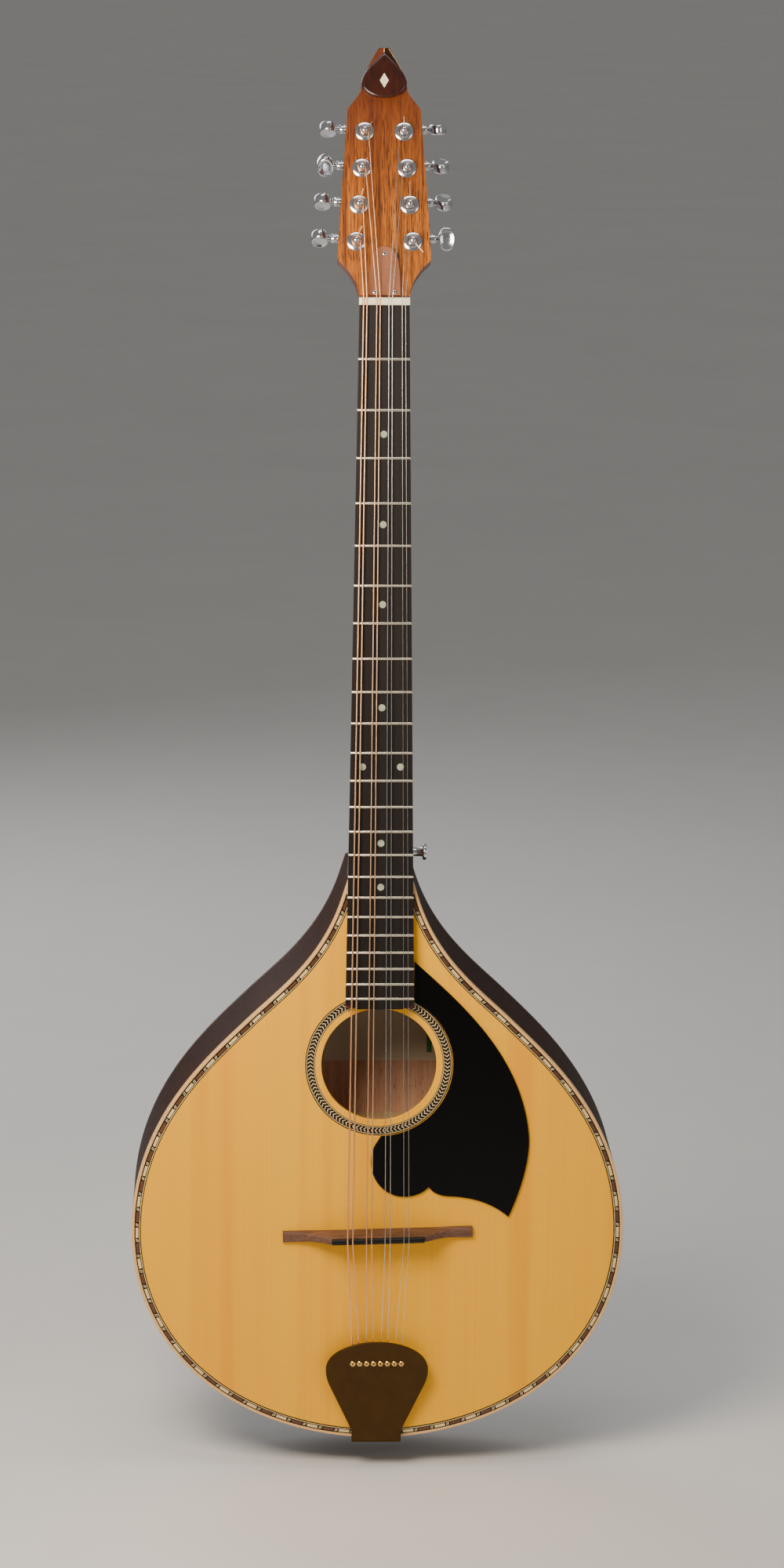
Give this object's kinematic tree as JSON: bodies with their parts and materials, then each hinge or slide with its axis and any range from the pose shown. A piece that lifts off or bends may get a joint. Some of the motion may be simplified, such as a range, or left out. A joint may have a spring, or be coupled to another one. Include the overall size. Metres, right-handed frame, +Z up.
{
  "type": "bouzouki",
  "caption": "Flat-backed teardrop-bodied long-necked lute with paired strings, floating bridge, metal tailpiece and geared tuning machines.",
  "frame": {"origin": "the point under the headstock's flare where a hanger's yoke carries the instrument, in the middle of the neck's thickness", "axes": "+Z up along the neck to the headstock, the soundboard faces -Y, the back faces +Y, +X is the treble side"},
  "size_m": [0.3446, 0.1058, 0.9712],
  "materials": {
    "spruce": "clear gloss lacquer over straight-grained spruce",
    "rosewood": "lacquered dark rosewood",
    "mahogany": "satin lacquered mahogany",
    "walnut": "gloss lacquered open-pored veneer",
    "ebony": "oiled streaky ebony",
    "maple": "lacquered maple binding",
    "inner_wood": "bare planed wood inside the body",
    "bone": "polished ivory-coloured bone",
    "chrome": "bright chrome plate",
    "steel": "plain drawn steel wire",
    "bronze_wire": "bronze-wound wire",
    "brass_plate": "dark antique brass",
    "black_plastic": "glossy black celluloid"
  },
  "bodies": {
    "instrument": {"soundboard": "spruce", "binding_front": "maple", "back_plate": "rosewood", "side_treble": "rosewood", "side_bass": "rosewood", "neck_block": "inner_wood", "tail_block": "inner_wood", "fingerboard_wedge": "mahogany", "pickguard": "black_plastic", "neck": "mahogany", "fingerboard": "ebony", "truss_rod": "steel", "nut": "bone", "strap_button": "chrome", "headstock_veneer": "walnut", "truss_rod_cover": "rosewood", "headstock_crest": "rosewood", "bridge": "rosewood", "bridge_saddle": "ebony", "tailpiece": "brass_plate", "string_1": "bronze_wire", "tuner_housing_1": "chrome", "tuner_bushing_1": "chrome", "string_2": "bronze_wire", "tuner_housing_2": "chrome", "tuner_bushing_2": "chrome", "string_3": "bronze_wire", "tuner_housing_3": "chrome", "tuner_bushing_3": "chrome", "string_4": "bronze_wire", "tuner_housing_4": "chrome", "tuner_bushing_4": "chrome", "string_5": "steel", "tuner_housing_5": "chrome", "tuner_bushing_5": "chrome", "string_6": "steel", "tuner_housing_6": "chrome", "tuner_bushing_6": "chrome", "string_7": "steel", "tuner_housing_7": "chrome", "tuner_bushing_7": "chrome", "string_8": "steel", "tuner_housing_8": "chrome", "tuner_bushing_8": "chrome"},
    "button_1": {"tuner_button_1": "chrome"},
    "post_1": {"string_post_1": "chrome"},
    "button_2": {"tuner_button_2": "chrome"},
    "post_2": {"string_post_2": "chrome"},
    "button_3": {"tuner_button_3": "chrome"},
    "post_3": {"string_post_3": "chrome"},
    "button_4": {"tuner_button_4": "chrome"},
    "post_4": {"string_post_4": "chrome"},
    "button_5": {"tuner_button_5": "chrome"},
    "post_5": {"string_post_5": "chrome"},
    "button_6": {"tuner_button_6": "chrome"},
    "post_6": {"string_post_6": "chrome"},
    "button_7": {"tuner_button_7": "chrome"},
    "post_7": {"string_post_7": "chrome"},
    "button_8": {"tuner_button_8": "chrome"},
    "post_8": {"string_post_8": "chrome"}
  },
  "joints": [
    {"name": "tuner_button_1_turn", "type": "hinge", "parent": "instrument", "child": "button_1", "pos_m": [-0.0191, 0.02759, 0.03575], "axis": [-1, 0, 0], "continuous": true},
    {"name": "string_post_1_turn", "type": "hinge", "parent": "instrument", "child": "post_1", "pos_m": [-0.0191, 0.00463, 0.03583], "axis": [0, -0.9483, 0.3173], "continuous": true},
    {"name": "tuner_button_2_turn", "type": "hinge", "parent": "instrument", "child": "button_2", "pos_m": [-0.01718, 0.03562, 0.05974], "axis": [-1, 0, 0], "continuous": true},
    {"name": "string_post_2_turn", "type": "hinge", "parent": "instrument", "child": "post_2", "pos_m": [-0.01718, 0.01266, 0.05983], "axis": [0, -0.9483, 0.3173], "continuous": true},
    {"name": "tuner_button_3_turn", "type": "hinge", "parent": "instrument", "child": "button_3", "pos_m": [-0.01526, 0.04365, 0.08373], "axis": [-1, 0, 0], "continuous": true},
    {"name": "string_post_3_turn", "type": "hinge", "parent": "instrument", "child": "post_3", "pos_m": [-0.01526, 0.02069, 0.08382], "axis": [0, -0.9483, 0.3173], "continuous": true},
    {"name": "tuner_button_4_turn", "type": "hinge", "parent": "instrument", "child": "button_4", "pos_m": [-0.01334, 0.05168, 0.10772], "axis": [-1, 0, 0], "continuous": true},
    {"name": "string_post_4_turn", "type": "hinge", "parent": "instrument", "child": "post_4", "pos_m": [-0.01334, 0.02872, 0.10781], "axis": [0, -0.9483, 0.3173], "continuous": true},
    {"name": "tuner_button_5_turn", "type": "hinge", "parent": "instrument", "child": "button_5", "pos_m": [0.01334, 0.05168, 0.10772], "axis": [1, 0, 0], "continuous": true},
    {"name": "string_post_5_turn", "type": "hinge", "parent": "instrument", "child": "post_5", "pos_m": [0.01334, 0.02872, 0.10781], "axis": [0, -0.9483, 0.3173], "continuous": true},
    {"name": "tuner_button_6_turn", "type": "hinge", "parent": "instrument", "child": "button_6", "pos_m": [0.01526, 0.04365, 0.08373], "axis": [1, 0, 0], "continuous": true},
    {"name": "string_post_6_turn", "type": "hinge", "parent": "instrument", "child": "post_6", "pos_m": [0.01526, 0.02069, 0.08382], "axis": [0, -0.9483, 0.3173], "continuous": true},
    {"name": "tuner_button_7_turn", "type": "hinge", "parent": "instrument", "child": "button_7", "pos_m": [0.01718, 0.03562, 0.05974], "axis": [1, 0, 0], "continuous": true},
    {"name": "string_post_7_turn", "type": "hinge", "parent": "instrument", "child": "post_7", "pos_m": [0.01718, 0.01266, 0.05983], "axis": [0, -0.9483, 0.3173], "continuous": true},
    {"name": "tuner_button_8_turn", "type": "hinge", "parent": "instrument", "child": "button_8", "pos_m": [0.0191, 0.02759, 0.03575], "axis": [1, 0, 0], "continuous": true},
    {"name": "string_post_8_turn", "type": "hinge", "parent": "instrument", "child": "post_8", "pos_m": [0.0191, 0.00463, 0.03583], "axis": [0, -0.9483, 0.3173], "continuous": true}
  ],
  "couplings": [
    {"joint": "string_post_1_turn", "follows": "tuner_button_1_turn", "ratio": 0.071429},
    {"joint": "string_post_2_turn", "follows": "tuner_button_2_turn", "ratio": 0.071429},
    {"joint": "string_post_3_turn", "follows": "tuner_button_3_turn", "ratio": 0.071429},
    {"joint": "string_post_4_turn", "follows": "tuner_button_4_turn", "ratio": 0.071429},
    {"joint": "string_post_5_turn", "follows": "tuner_button_5_turn", "ratio": 0.071429},
    {"joint": "string_post_6_turn", "follows": "tuner_button_6_turn", "ratio": 0.071429},
    {"joint": "string_post_7_turn", "follows": "tuner_button_7_turn", "ratio": 0.071429},
    {"joint": "string_post_8_turn", "follows": "tuner_button_8_turn", "ratio": 0.071429}
  ]
}
